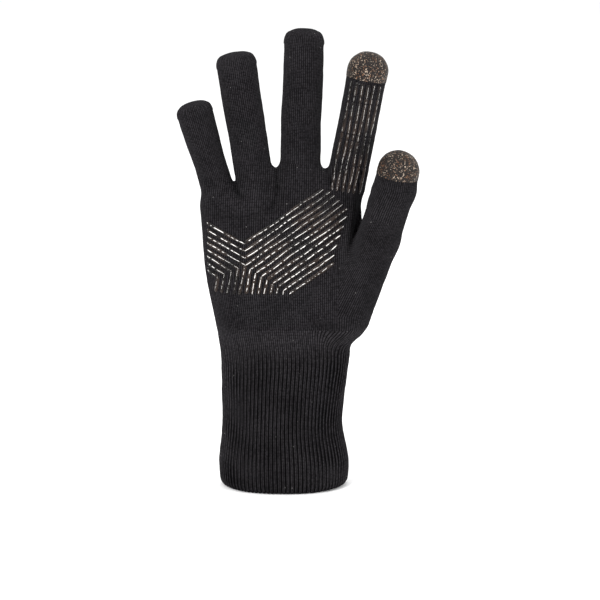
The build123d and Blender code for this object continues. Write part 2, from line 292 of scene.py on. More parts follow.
# ---------------- folds in the knit
# Each fold on the palm side: points in X and Z, half width, depth.
FOLDS = [
    ([(-3.6, 200), (-3.2, 191), (-3.0, 184), (-6, 175), (-12, 168)], 1.2, 2.1),
    ([(-47, 169.5), (-36, 168), (-26, 167.5), (-14, 171), (-3, 178)], 1.3, 1.3),
    ([(49, 184), (47.5, 174), (45, 163), (42, 152), (40, 144)], 2.5, 3.4),
    ([(36.5, 146), (34.5, 139), (34.5, 130)], 1.3, 0.8),
    ([(26, 200), (27, 192), (30, 186)], 1.2, 1.3),
    ([(-28.5, 189), (-26.5, 182), (-20, 179)], 1.2, 1.8),
]


def fold_depth(p, wider):
    """How deep the folds press the surface in, on the palm side alone."""
    x, z = p[..., 0], p[..., 2]
    total = np.zeros(x.shape)
    for line, width, depth in FOLDS:
        best = np.full(x.shape, 1e3)
        fade = np.zeros(x.shape)
        count = len(line) - 1
        for i, ((x0, z0), (x1, z1)) in enumerate(zip(line, line[1:])):
            dx, dz = x1 - x0, z1 - z0
            t = np.clip(((x - x0) * dx + (z - z0) * dz) / (dx * dx + dz * dz), 0, 1)
            d = np.hypot(x - x0 - t * dx, z - z0 - t * dz)
            near = d < best
            best = np.where(near, d, best)
            fade = np.where(near, (i + t) / count, fade)
        ends = np.clip(4 * fade, 0, 1) * np.clip(4 * (1 - fade), 0, 1)
        width += wider
        press = np.exp(-(best / width) ** 2) - 0.3 * np.exp(-((best - 2.2 * width) / width) ** 2)
        total += depth * press * (0.25 + 0.75 * ends)
    return total * np.clip((-p[..., 1] - 1) / 4, 0, 1)


def waves(p, scale, seed):
    """Slow, smooth unevenness, about -1 to 1."""
    source = np.random.default_rng(seed)
    total = np.zeros(p.shape[:-1])
    for _ in range(9):
        direction = unit(source.normal(size=3))
        pitch = p @ direction * (TURN / scale) * source.uniform(0.6, 1.5)
        total += np.sin(pitch + source.uniform(0, 6.28))
    return total / 3.2


depth_below = 0.0            # how far inside the glove's outer surface the sheet being made lies
LINER_FOLDS_WIDER = 2.0  # the liner goes round the folds in wider curves


def surface(p):
    """Signed distance to the sheet being made, with its folds and unevenness, but without ribs."""
    level = distance(p) - 0.22 * waves(p, 26, 3) - 0.07 * waves(p, 7, 4) + depth_below
    return level + fold_depth(p, LINER_FOLDS_WIDER if depth_below else 0.0)


PROBE = 0.06
CORNERS = np.array([(1, -1, -1), (-1, -1, 1), (-1, 1, -1), (1, 1, 1)]) * PROBE


def gradient(p):
    """Slope of the signed distance, from the corners of a small tetrahedron."""
    return sum(c * surface(p + c)[..., None] for c in CORNERS) / (4 * PROBE ** 2)


def outward(p):
    g = gradient(p)
    return g / np.clip(np.linalg.norm(g, axis=-1, keepdims=True), 1e-6, None)


def settle(p, rounds=3):
    """Moves points to the surface along its slope."""
    for _ in range(rounds):
        g = gradient(p)
        p = p - g * np.clip(surface(p) / np.clip((g ** 2).sum(-1), 0.2, None), -1.5, 1.5)[..., None]
    return p


# ---------------- meshes
class Sheet:
    """An open surface: points, outward normals, each point's place in the knit, in columns and rows
    of stitches, faces as lists of point numbers, and the number of columns in one turn."""

    def __init__(self, points, normals, knit, faces, period):
        self.points, self.normals, self.knit = points, normals, knit
        self.faces, self.period = faces, period


def part_of(sheet, chosen):
    """The sheet's faces that are chosen, with the points they use."""
    faces = [f for f, keep in zip(sheet.faces, chosen) if keep]
    used = np.unique(np.concatenate([np.array(f) for f in faces]))
    new = np.full(len(sheet.points), -1)
    new[used] = np.arange(len(used))
    faces = [[int(new[i]) for i in f] for f in faces]
    return Sheet(sheet.points[used], sheet.normals[used], sheet.knit[used], faces, sheet.period)


def stretch(sheet, first, last):
    chosen = np.zeros(len(sheet.faces), bool)
    chosen[first:last] = True
    return part_of(sheet, chosen)


def place_object(name, data):
    thing = bpy.data.objects.new(name, data)
    bpy.context.scene.collection.objects.link(thing)
    return thing


def make_object(name, points, faces, knit, normals=None):
    """A smooth mesh. Knit coordinates and normals are given for each corner of each face."""
    mesh = bpy.data.meshes.new(name)
    mesh.from_pydata((points * MM).tolist(), [], faces)
    layer = mesh.uv_layers.new(name="knit")
    layer.data.foreach_set("uv", np.asarray(knit, np.float32).ravel())
    mesh.polygons.foreach_set("use_smooth", [True] * len(mesh.polygons))
    if normals is not None:
        mesh.normals_split_custom_set(normals.tolist())
    mesh.update()
    return place_object(name, mesh)


def wall(name, sheet, thickness):
    """A closed wall under a sheet: the sheet, its inner copy, and rims round every open edge."""
    n = len(sheet.points)
    inner = sheet.points - sheet.normals * thickness
    open_edges = {}
    for face in sheet.faces:
        for a, b in zip(face, face[1:] + face[:1]):
            if (b, a) in open_edges:
                del open_edges[(b, a)]
            else:
                open_edges[(a, b)] = True
    rims = [[b, a, a + n, b + n] for a, b in open_edges]
    faces = sheet.faces + [[i + n for i in reversed(f)] for f in sheet.faces] + rims
    knit = []
    for face in faces:
        uv = sheet.knit[[i % n for i in face]]
        if np.ptp(uv[:, 0]) > sheet.period / 2:
            uv[uv[:, 0] < sheet.period / 2, 0] += sheet.period
        knit.append(uv)
    normals = [sheet.normals[f] for f in sheet.faces]
    normals += [-sheet.normals[f[::-1]] for f in sheet.faces]
    normals.append(np.zeros((4 * len(rims), 3)))          # a rim takes the normals of its faces
    points = np.vstack([sheet.points, inner])
    return make_object(name, points, faces, np.vstack(knit), np.vstack(normals))


# ---------------- tubes
INSIDE = 3.0  # rays for a stall's rings start this far inside its surface
GATHER_FROM_TIP = 7.5


def cast(centres, directions, start, rounds=30):
    """Where rays from inside first leave the surface."""
    t = np.full(directions.shape[:-1], float(start))
    for _ in range(rounds):
        t = t - 0.9 * surface(centres + directions * t[..., None])
    return centres + directions * t[..., None]


def rows_between(stops, step):
    """Positions from the first stop to the last, and where among them the stops are."""
    rows, marks = [stops[0]], [0]
    for a, b in zip(stops, stops[1:]):
        count = max(1, int(round((b - a) / step)))
        rows.extend(np.linspace(a, b, count + 1)[1:])
        marks.append(len(rows) - 1)
    return np.array(rows), marks


def circle(columns, first, second):
    """Directions all round, starting from the second one."""
    angles = math.pi / 2 + np.arange(columns) / columns * TURN
    return np.cos(angles)[:, None] * first + np.sin(angles)[:, None] * second


def even_ring(centre, first, second, start, columns):
    """A ring of evenly spaced points where a plane through the centre cuts the surface."""
    dense = cast(centre, circle(3 * columns, first, second), start, 12)
    dense = np.vstack([dense, dense[:1]])
    length = length_along(dense)
    wanted = np.arange(columns) / columns * length[-1]
    return np.stack([np.interp(wanted, length, dense[:, i]) for i in range(3)], axis=1)


class Tube:
    """Rings along a stall, closed by a pole at its tip."""

    def __init__(self, cross_section, stops, columns, step, wales, start):
        self.columns = columns
        rows, self.marks = rows_between(stops, step)
        rings = [even_ring(*cross_section(s), start, columns) for s in rows]
        centre, first, second = cross_section(rows[-1])
        along = np.cross(first, second)
        tilt = np.linspace(0, math.pi / 2, max(4, int(16 / step)) + 1)[1:-1]
        flat = circle(columns, first, second)
        fan = np.cos(tilt)[:, None, None] * flat + np.sin(tilt)[:, None, None] * along
        rings = np.concatenate([np.array(rings), cast(centre, fan, start)])
        pole = cast(centre, along[None], start)
        length = np.linalg.norm(np.diff(rings, axis=0), axis=-1).mean(1)
        v = np.concatenate([[0], np.cumsum(length)]) / COURSE
        u = np.arange(columns) / columns * wales
        knit = np.stack(np.broadcast_arrays(u[None, :], v[:, None]), axis=-1)
        self.sheet = grid_sheet(rings, knit, wales, pole)

    def gather(self, reach):
        """Puckers the knit near a fingertip, at a distance from its pole."""
        sheet, columns = self.sheet, self.columns
        left = (sheet.knit[-1, 1] - sheet.knit[:, 1]) * COURSE
        share = np.clip((left - reach) / 2.5, 0, 1) * np.clip((reach + 8 - left) / 4, 0, 1)
        share[-1] = 0
        ridge = np.cos(TURN * sheet.knit[:, 0] / 2)
        sheet.points += sheet.normals * (0.30 * share * ridge + 0.25 * share)[:, None]
        rows = len(sheet.points) // columns
        rings = sheet.points[:rows * columns].reshape(rows, columns, 3)
        around = np.roll(rings, -1, axis=1) - np.roll(rings, 1, axis=1)
        normals = unit(np.cross(around, np.gradient(rings, axis=0)))
        touched = share[:rows * columns] > 0
        sheet.normals[:rows * columns][touched] = normals.reshape(-1, 3)[touched]

    def part(self, first, last=None):
        """The tube between two of its stops, or from one to the pole."""
        end = None if last is None else self.marks[last] * self.columns
        return stretch(self.sheet, self.marks[first] * self.columns, end)


def grid_sheet(rings, knit, period, pole=None):
    """A tube of rings as one sheet, closed by a pole if one is given."""
    rows, columns = rings.shape[:2]
    index = np.arange(rows * columns).reshape(rows, columns)
    right = np.roll(index, -1, axis=1)
    faces = np.stack([index[:-1], right[:-1], right[1:], index[1:]], axis=-1)
    faces = faces.reshape(-1, 4).tolist()
    points, knit = rings.reshape(-1, 3), knit.reshape(-1, 2)
    if pole is not None:
        last = index[-1]
        faces += [[int(last[i]), int(last[(i + 1) % columns]), len(points)] for i in range(columns)]
        points = np.vstack([points, pole])
        knit = np.vstack([knit, knit[last].mean(0) + (0, 1)])
    return Sheet(points, outward(points), knit, faces, period)


def stall_tube(finger, columns, step):
    wales = 2 * round(math.pi * finger.radius / WALE)
    stops = [s for hinge in finger.hinges for s in finger.band(hinge)]
    if finger is INDEX:
        stops.append(finger.length - INDEX_CAP)
    stops.append(max(stops[-1] + 0.5, finger.length - finger.corner))
    tube = Tube(finger.cross_section, stops, columns, step, wales, finger.radius - INSIDE)
    if finger is not INDEX and not depth_below:
        tube.gather(GATHER_FROM_TIP)
    return tube


def thumb_cross_section(s):
    """Centre of the thumb at a distance past its knuckle, and two directions across it."""
    turn = np.clip((s - THUMB_HINGE + 6) / 12, 0, 1)
    along = unit(THUMB_AXIS * (1 - turn) + TIP_AXIS * turn)
    first = unit(np.cross((0, 1, 0), along))
    centre = THUMB[1] + THUMB_AXIS * min(s, THUMB_HINGE) + TIP_AXIS * max(0, s - THUMB_HINGE)
    return centre, first, np.cross(along, first)


def thumb_tube(columns, step):
    stops = [THUMB_LOOP, THUMB_HINGE - THUMB_REACH, THUMB_HINGE + THUMB_REACH,
             THUMB_LENGTH - THUMB_CAP, THUMB_LENGTH - THUMB_RADII[3]]
    return Tube(thumb_cross_section, stops, columns, step, THUMB_WALES, THUMB_RADII[3] - INSIDE)


# ---------------- the palm's net
NET_LOW, NET_HIGH = (-56, -34), (80, 30, 207)
STALL_ROOM = 4.0  # what is nearer than this to a stall belongs to it


def surface_net(low, high, step):
    """Quads over the surface inside a box, one point per grid cell that it crosses."""
    axes = [np.arange(a, b + step, step) for a, b in zip(low, high)]
    grid = np.stack(np.meshgrid(*axes, indexing="ij"), axis=-1)
    values = surface(grid)
    shape = np.array(values.shape) - 1
    total = np.zeros((*shape, 3))
    count = np.zeros(shape)
    edges = []
    for axis in range(3):
        lower = [slice(None)] * 3
        upper = [slice(None)] * 3
        lower[axis], upper[axis] = slice(0, -1), slice(1, None)
        a, b = values[tuple(lower)], values[tuple(upper)]
        crossed = (a < 0) != (b < 0)
        share = np.where(crossed, a / np.where(crossed, a - b, 1), 0)
        point = grid[tuple(lower)] + share[..., None] * (grid[tuple(upper)] - grid[tuple(lower)])
        edges.append(crossed)
        others = [i for i in range(3) if i != axis]
        for i, j in ((0, 0), (0, 1), (1, 0), (1, 1)):
            window = [slice(None)] * 3
            window[others[0]] = slice(i, i + shape[others[0]])
            window[others[1]] = slice(j, j + shape[others[1]])
            picked = crossed[tuple(window)]
            total += np.where(picked[..., None], point[tuple(window)], 0)
            count += picked
    active = count > 0
    number = np.full(shape, -1)
    number[active] = np.arange(active.sum())
    points = total[active] / count[active][:, None]
    quads = []
    for axis in range(3):
        crossed = edges[axis]
        others = [i for i in range(3) if i != axis]
        window = [slice(None)] * 3
        for o in others:
            window[o] = slice(1, -1)
        where = np.argwhere(crossed[tuple(window)])
        where[:, others[0]] += 1
        where[:, others[1]] += 1
        first, second = np.zeros(3, int), np.zeros(3, int)
        first[others[0]], second[others[1]] = 1, 1
        corners = [where - first - second, where - second, where, where - first]
        quads.append(np.stack([number[tuple(c.T)] for c in corners], axis=1))
    quads = np.vstack(quads)
    a, b, c, d = (points[quads[:, i]] for i in range(4))
    inward = (np.cross(c - a, d - b) * outward((a + b + c + d) / 4)).sum(1) < 0
    quads[inward] = quads[inward][:, ::-1]
    return points, quads


def relax(points, quads, rounds):
    """Evens out the net without moving it off the surface."""
    pairs = np.vstack([quads[:, [i, (i + 1) % 4]] for i in range(4)])
    pairs = np.unique(np.sort(pairs, axis=1), axis=0)
    degree = np.bincount(pairs.ravel(), minlength=len(points))[:, None]
    edge_use = np.bincount(quads.ravel(), minlength=len(points))
    free = ((edge_use == degree[:, 0]) & (edge_use > 0))[:, None]
    for _ in range(rounds):
        total = np.zeros_like(points)
        np.add.at(total, pairs[:, 0], points[pairs[:, 1]])
        np.add.at(total, pairs[:, 1], points[pairs[:, 0]])
        points = np.where(free, points * 0.4 + 0.6 * total / np.maximum(degree, 1), points)
        points = settle(points, 1)
    return settle(points, 2)


def arc_table():
    """Share of the way round each cross-section, by height and by angle from the back's middle."""
    heights = np.linspace(SECTIONS[0, 0], SECTIONS[-1, 0], ARC_ROWS)
    _, a, b, n = (v[:, None] for v in section(heights))
    c, s = np.cos(ARC_ANGLES), np.sin(ARC_ANGLES)
    r = ((np.abs(c) / a) ** n + (np.abs(s) / b) ** n) ** (-1 / n)
    steps = np.hypot(np.diff(r * c, axis=1), np.diff(r * s, axis=1))
    length = np.hstack([np.zeros((ARC_ROWS, 1)), np.cumsum(steps, axis=1)])
    return heights, length / length[:, -1:]


ARC_ROWS, ARC_STEPS = 60, 720
ARC_ANGLES = np.linspace(0, TURN, ARC_STEPS + 1) + math.pi / 2
ARC_HEIGHTS, ARC_SHARES = arc_table()


def arc_row(z):
    """Place of a height in the table, as a row and a share of the way to the next one."""
    row = np.clip(np.interp(z, ARC_HEIGHTS, np.arange(ARC_ROWS)), 0, ARC_ROWS - 1.001)
    return row.astype(int), row % 1


def share_round(p):
    """How far round the cuff or palm each point is, from 0 to 1."""
    centre, a, b, n = section(p[:, 2])
    x = p[:, 0] - centre
    flat = np.sign(p[:, 1]) * b * np.clip(1 - np.clip(np.abs(x) / a, 0, 1) ** n, 0, 1) ** (1 / n)
    side = np.clip((np.abs(x) / a - 0.92) / 0.07, 0, 1)
    turn = (np.arctan2(flat + (p[:, 1] - flat) * side, x) - math.pi / 2) % TURN
    column = turn / TURN * ARC_STEPS
    i, fi = arc_row(p[:, 2])
    j = np.clip(column.astype(int), 0, ARC_STEPS - 1)
    fj = column - j
    low = ARC_SHARES[i, j] * (1 - fj) + ARC_SHARES[i, j + 1] * fj
    high = ARC_SHARES[i + 1, j] * (1 - fj) + ARC_SHARES[i + 1, j + 1] * fj
    return low * (1 - fi) + high * fi


def past_ring(p):
    """How far past the start of the thumb's own tube."""
    return (p - THUMB_RING) @ THUMB_AXIS


def from_thumb(p):
    """How far from the thumb's axis."""
    q = p - THUMB[1]
    return np.linalg.norm(q - (q @ THUMB_AXIS)[..., None] * THUMB_AXIS, axis=-1)


def seam_side(p):
    """How far a point is on the thumb's side of the gusset seam."""
    return np.minimum(p[..., 0] - GUSSET_X, (p - CROTCH) @ CROTCH_NORMAL)


def cut_net(points, quads, step):
    """The net with edges along the planes where the glove's pieces meet."""
    mesh = bmesh.new()
    verts = [mesh.verts.new(p) for p in points]
    for quad in quads:
        mesh.faces.new([verts[i] for i in quad])

    def cut(point, normal, near):
        """Cuts the faces whose middles are near, along a plane."""
        middles = np.array([f.calc_center_median() for f in mesh.faces])
        chosen = near(middles) & (np.abs((middles - point) @ normal) < 3 * step)
        faces = [f for f, c in zip(mesh.faces, chosen) if c]
        edges = list({e for f in faces for e in f.edges})
        corners = list({v for f in faces for v in f.verts})
        bmesh.ops.bisect_plane(mesh, geom=faces + edges + corners, plane_co=point, plane_no=normal,
                               dist=0.02)

    cut(np.array((0, 0, WRIST_TOP)), np.array((0, 0, 1.0)), lambda m: m[:, 2] > 0)
    for f in FINGERS:
        cut(f.at(-f.reach["root"]), f.axis, lambda m, f=f: f.lateral(m) < f.radius + STALL_ROOM)
    cut(THUMB_RING, THUMB_AXIS, lambda m: from_thumb(m) < THUMB_ROOM)
    cut(np.array((GUSSET_X, 0, 0)), np.array((1.0, 0, 0)), lambda m: m[:, 2] < GUSSET_TURN[1])
    cut(CROTCH, CROTCH_NORMAL, lambda m: m[:, 2] > GUSSET_TURN[0])
    mesh.verts.index_update()
    points = np.array([v.co for v in mesh.verts])
    faces = [[v.index for v in f.verts] for f in mesh.faces]
    mesh.free()
    return points, faces


def hand_sheets(step):
    """The palm's knit and the thumb gusset, cut from one net."""
    points, quads = surface_net((NET_LOW[0], NET_LOW[1], WRIST_TOP - 3 * step), NET_HIGH, step)
    points, faces = cut_net(relax(points, quads, 8), quads, step)
    middles = np.array([points[f].mean(0) for f in faces])
    off = np.array([f.lateral(middles) - f.radius for f in FINGERS])
    past = np.array([(middles - f.at(-f.reach["root"])) @ f.axis > 0 for f in FINGERS])
    on_finger = np.take_along_axis(past, off.argmin(0)[None], 0)[0] & (off.min(0) < STALL_ROOM)
    on_thumb = (past_ring(middles) > 0) & (from_thumb(middles) < THUMB_ROOM)
    on_thumb &= middles[:, 0] > CROTCH[0]
    hand = (middles[:, 2] >= WRIST_TOP) & ~on_finger & ~on_thumb
    on_gusset = seam_side(middles) > 0

    rows = points[:, 2] / COURSE
    chain = np.array(THUMB)
    centre_x, centre_y = (np.interp(points[:, 2], chain[:, 2], chain[:, i]) for i in (0, 1))
    turn = np.arctan2(points[:, 0] - centre_x, centre_y - points[:, 1]) / TURN
    palm_knit = np.stack([share_round(points) * 2 * RIBS, rows], axis=1)
    gusset_knit = np.stack([turn * GUSSET_WALES, rows], axis=1)
    normals = outward(points)
    palm = part_of(Sheet(points, normals, palm_knit, faces, 2 * RIBS), hand & ~on_gusset)
    gusset = part_of(Sheet(points, normals, gusset_knit, faces, GUSSET_WALES), hand & on_gusset)
    return palm, gusset


# ---------------- pieces of knit
def finish_piece(piece, material, zones=None, body=None):
    """Gives a piece its material, hides the CAD nodes it stands for, its own unless others are
    named, and attaches it to the body it rides on, if one is named."""
    piece.data.materials.append(material)
    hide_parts(*(zones or [piece.name.split(".")[0]]))
    if body:
        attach(piece, body)
    return piece


def knit_piece(name, sheet, thickness, material, zones=None, body=None):
    return finish_piece(wall(name, sheet, thickness), material, zones, body)


def make_cap(name, sheet, material, body):
    sheet.points += sheet.normals * CAP_RAISE
    knit_piece(name, sheet, KNIT, material, body=body)


def bend(piece, joint, start, end):
    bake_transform(piece)


def bend_at_wrist(piece):
    bend(piece, "wrist", WRIST - (0, 0, WRIST_REACH), WRIST + (0, 0, WRIST_REACH))


def bend_with_thumb(piece):
    """Works out a share of the knit round the ball of the thumb between palm and thumb, by nearness
    to each; the share is not applied.
    """
    bend(piece, "thumb_root", THUMB[1], THUMB_RING)
    p = np.array([v.co for v in piece.data.vertices]) / MM
    to_palm = np.clip(np.minimum(seam_side(p), p[:, 2] - WRIST_TOP - 2), 0, None)
    to_thumb = np.hypot(np.clip(-past_ring(p), 0, None), np.clip(from_thumb(p) - 14.5, 0, None))
    share = to_palm / np.clip(to_palm + to_thumb, 1e-6, None)
    share = share * share * (3 - 2 * share)


FINGER_PARTS = ("root", "base", "knuckle", "middle", "end_joint", "tip")
THUMB_PARTS = ("base", "end_joint", "tip")
THUMB_BENDS = {
    "end_joint": (THUMB[2] - THUMB_AXIS * THUMB_REACH, THUMB[2] + TIP_AXIS * THUMB_REACH)}
# The liner's CAD nodes go on through the bends.
LINER_ZONES = {"root": "palm", "knuckle": "{}_middle", "end_joint": "{}_tip"}


def stall_pieces(name, parts, bends, tube, kind, material, thickness, capped):
    """Knit or liner of a stall: bands over its hinges, left where they are made, and stiff stretches
    between them that ride on their bodies.
    """
    for i, part in enumerate(parts):
        own = f"{name}_{part}"
        zone = own if kind == "knit" else LINER_ZONES.get(part, own).format(name)
        sheet = tube.part(i, i + 1 if capped or part != "tip" else None)
        piece = knit_piece(f"{own}_{kind}", sheet, thickness, material, [f"{zone}_{kind}"],
                           None if part in bends else own)
        if part in bends:
            bend(piece, own, *bends[part])


def finger_pieces(finger, tube, kind, material, thickness, capped=False):
    bends = {hinge: finger.bend_ends(hinge) for hinge in finger.hinges}
    stall_pieces(finger.name, FINGER_PARTS, bends, tube, kind, material, thickness, capped)


def section_ring(z, columns):
    """A level ring whose points divide the plain cross-section evenly."""
    row, share = arc_row(z)
    low, high = ARC_SHARES[row], ARC_SHARES[row + 1]
    angles = np.interp(np.arange(columns) / columns, low + (high - low) * share, ARC_ANGLES)
    rays = np.stack([np.cos(angles), np.sin(angles), np.zeros(columns)], axis=1)
    return cast(np.array((section(z)[0], 0, z)), rays, 30.0, 14)


def cuff_parts(columns, step, ribbed):
    """The welt, the cuff above it and the wrist's bend, cut from one tube."""
    stops = [0.0, HEM_TOP, WRIST[2] - WRIST_REACH, WRIST_TOP]
    rows, marks = rows_between(stops, step)
    if ribbed:
        rows = np.insert(rows, 1, EDGE_ROWS)
        marks = [0] + [m + len(EDGE_ROWS) for m in marks[1:]]
    rings = np.array([section_ring(z, columns) for z in rows])
    u = np.broadcast_to(np.arange(columns) / columns * RIBS, rings.shape[:2])
    if ribbed:
        normals = outward(rings)
        wave = np.cos(TURN * (u + 0.06 * waves(rings, 30, 9)))
        height = RIB_DEPTH / 2 * (np.sign(wave) * np.abs(wave) ** 0.75)
        z = rings[..., 2]
        fade = np.clip((RIB_END - z) / RIB_FADE, 0, 1) ** 0.7 * (1 + 0.25 * waves(rings, 17, 11))
        below = np.clip(1 - z / HEM_FOLD, 0, 1)
        edge = HEM_ROUNDING * (1 - np.sqrt(np.clip(1 - below ** 2, 0, 1)))
        rings = rings + normals * (height * fade - edge)[..., None]
        rings[0, :, 2] += EDGE_WAVE * (1 - wave[0])
    v = np.broadcast_to((rows / COURSE)[:, None], rings.shape[:2])
    sheet = grid_sheet(rings, np.stack([2 * u, v], axis=-1), 2 * RIBS)
    if ribbed:
        around = np.roll(rings, -1, axis=1) - np.roll(rings, 1, axis=1)
        slope = unit(np.cross(around, np.gradient(rings, axis=0)))
        sheet.normals[:-columns] = slope[:-1].reshape(-1, 3)
    return [stretch(sheet, a * columns, b * columns) for a, b in zip(marks, marks[1:])]


# ---------------- materials
class Nodes:
    """A material under construction."""

    def __init__(self, name):
        self.material = bpy.data.materials.new(name)
        self.material.use_nodes = True
        self.tree = self.material.node_tree
        self.shader = self.tree.nodes["Principled BSDF"]

    def add(self, kind, **settings):
        node = self.tree.nodes.new(kind)
        for key, value in settings.items():
            setattr(node, key, value)
        return node

    def plug(self, socket, value):
        if isinstance(value, bpy.types.NodeSocket):
            self.tree.links.new(value, socket)
        else:
            socket.default_value = value

    def math(self, operation, *values):
        node = self.add("ShaderNodeMath", operation=operation)
        for i, value in enumerate(values):
            self.plug(node.inputs[i], value)
        return node.outputs[0]

    def times(self, *values):
        return self.math("MULTIPLY", *values)

    def plus(self, *values):
        return self.math("ADD", *values)

    def minus(self, *values):
        return self.math("SUBTRACT", *values)

    def mix(self, share, first, second):
        """A colour between two. The node's first input is the share, its colours start at 6."""
        node = self.add("ShaderNodeMix", data_type="RGBA")
        for i, value in ((0, share), (6, first), (7, second)):
            self.plug(node.inputs[i], value)
        return node.outputs[2]

    def ramp(self, value, low, high):
        """0 at low and 1 at high, with a smooth step between."""
        node = self.add("ShaderNodeMapRange", interpolation_type="SMOOTHSTEP")
        for socket, v in zip(node.inputs[:3], (value, low, high)):
            self.plug(socket, v)
        return node.outputs[0]

    def noise(self, scale, detail=2.0):
        node = self.add("ShaderNodeTexNoise")
        for key, value in (("Scale", scale), ("Detail", detail), ("Vector", self.place())):
            self.plug(node.inputs[key], value)
        return node.outputs["Fac"]

    def place(self):
        return self.add("ShaderNodeTexCoord").outputs["Object"]

    def uv(self):
        node = self.add("ShaderNodeSeparateXYZ")
        self.plug(node.inputs[0], self.add("ShaderNodeUVMap", uv_map="knit").outputs[0])
        return node.outputs[0], node.outputs[1]

    def bump(self, height, distance):
        node = self.add("ShaderNodeBump")
        for key, value in (("Distance", distance), ("Strength", 1.0), ("Height", height)):
            self.plug(node.inputs[key], value)
        return node.outputs[0]

    def set(self, **values):
        for key, value in values.items():
            self.plug(self.shader.inputs[key.replace("_", " ")], value)
        return self.material


def colour(r, g, b):
    return (r, g, b, 1.0)


def stitches(m):
    """Height of a stitch column: two legs leaning together, row upon row."""
    u, v = m.uv()
    across = m.math("FRACT", u)
    column = m.math("SINE", m.times(across, math.pi))
    lean = m.math("ABSOLUTE", m.minus(m.times(across, 2.0), 1.0))
    row = m.plus(v, m.times(lean, 0.5))
    leg = m.plus(m.times(m.math("COSINE", m.times(row, TURN)), 0.5), 0.5)
    centre = m.ramp(m.math("ABSOLUTE", m.minus(across, 0.5)), 0.0, 0.13)
    height = m.times(m.math("POWER", column, 0.6), m.plus(0.62, m.times(leg, 0.38)))
    return m.times(height, m.plus(0.8, m.times(centre, 0.2)))


def knit_material(name, tone, relief, ribs=0.0):
    """Fine knit, its stitch valleys in painted shade. With ribs, every second column sinks into
    painted shade, and less towards the hand.
    """
    m = Nodes(name)
    height = stitches(m)
    u, v = m.uv()
    cell = m.add("ShaderNodeCombineXYZ")
    m.plug(cell.inputs[0], m.math("FLOOR", u))
    m.plug(cell.inputs[1], m.math("FLOOR", v))
    loose = m.add("ShaderNodeTexWhiteNoise", noise_dimensions="2D")
    m.plug(loose.inputs["Vector"], cell.outputs[0])
    broad = m.noise(45.0, 3.0)
    fuzz = m.noise(1500.0, 3.0)
    # Painted shade: the lower a stitch's height, the nearer its colour goes to the near-black one;
    # loose and broad add random tone.
    light = m.times(m.math("POWER", height, 2.4), m.plus(0.75, loose.outputs["Value"]))
    light = m.times(light, m.plus(0.35, m.times(broad, 1.3)))
    if ribs:
        # Painted shade in the grooves between the ribs, fading out towards the hand.
        groove = m.ramp(m.math("COSINE", m.times(u, math.pi)), 0.25, -0.45)
        fade = m.ramp(v, RIB_END / COURSE, RIB_SHADE_FULL / COURSE)
        light = m.times(light, m.minus(1.0, m.times(m.times(groove, fade), ribs)))
    base = m.mix(light, colour(0.0012, 0.0012, 0.0013), tone)
    hairs = m.times(m.ramp(fuzz, 0.58, 0.74), m.times(broad, 0.6))
    base = m.mix(hairs, base, colour(0.032, 0.030, 0.034))
    specks = m.add("ShaderNodeTexVoronoi", feature="F1")
    specks.inputs["Scale"].default_value = 230.0
    m.plug(specks.inputs["Vector"], m.place())
    sparse = m.ramp(m.noise(120.0, 0.0), 0.56, 0.66)
    lint = m.times(m.math("LESS_THAN", specks.outputs["Distance"], 0.07), sparse)
    base = m.mix(m.times(lint, 0.35), base, colour(0.30, 0.29, 0.28))
    normal = m.bump(m.plus(height, m.times(fuzz, 0.5)), relief)
    return m.set(Base_Color=base, Roughness=0.9, Normal=normal, Specular_IOR_Level=0.0,
                 Sheen_Weight=0.03, Sheen_Roughness=0.4, Sheen_Tint=colour(0.9, 0.88, 0.95))


def cap_material():
    """Conductive knit: black yarn plied with coppery metal."""
    m = Nodes("conductive_knit")
    coarse = m.noise(1050.0, 1.0)
    fine = m.noise(1900.0, 0.0)
    fleck = m.times(m.ramp(coarse, 0.555, 0.615), m.ramp(fine, 0.40, 0.52))
    stitch = stitches(m)
    # Painted shade: the stitch valleys are darker than the tops of the stitches.
    base = m.mix(stitch, colour(0.004, 0.003, 0.003), colour(0.016, 0.012, 0.010))
    tan = m.mix(m.ramp(m.noise(330.0), 0.4, 0.6), colour(0.17, 0.085, 0.045),
                colour(0.40, 0.32, 0.25))
    base = m.mix(fleck, base, tan)
    normal = m.bump(m.plus(m.times(stitch, 0.5), coarse), 0.0008)
    return m.set(Base_Color=base, Roughness=0.5, Normal=normal, Metallic=m.times(fleck, 0.3),
                 Specular_IOR_Level=0.2)


def silicone_material():
    """Printed silicone: dark, with a painted pale highlight along the top of each bar. Its map is
    the place across and along.
    """
    m = Nodes("grip_silicone")
    across, _ = m.uv()
    wander = m.times(m.minus(m.noise(110.0), 0.5), 0.9)
    away = m.math("ABSOLUTE", m.minus(across, m.plus(0.12, wander)))
    # Painted highlight along the top of each bar: this noise varies its width, and a finer one
    # breaks it up.
    highlight_width_noise = m.noise(38.0, 1.0)
    width = m.plus(0.05, m.times(m.ramp(highlight_width_noise, 0.42, 0.68), 0.15))
    painted_highlight = m.minus(1.0, m.ramp(m.math("DIVIDE", away, width), 0.6, 1.3))
    painted_highlight = m.times(painted_highlight, m.ramp(m.noise(520.0), 0.42, 0.56))
    brown = m.mix(m.ramp(m.noise(70.0), 0.4, 0.62), colour(0.005, 0.004, 0.004),
                  colour(0.022, 0.015, 0.012))
    # The painted highlight is pale over the dark brown silicone.
    base = m.mix(painted_highlight, brown, colour(0.85, 0.83, 0.80))
    pits = m.bump(m.noise(900.0, 3.0), 0.0003)
    return m.set(Base_Color=base, Roughness=m.plus(0.32, m.times(painted_highlight, 0.3)), Normal=pits,
                 Specular_IOR_Level=0.12, Coat_Weight=0.04, Coat_Roughness=0.3)


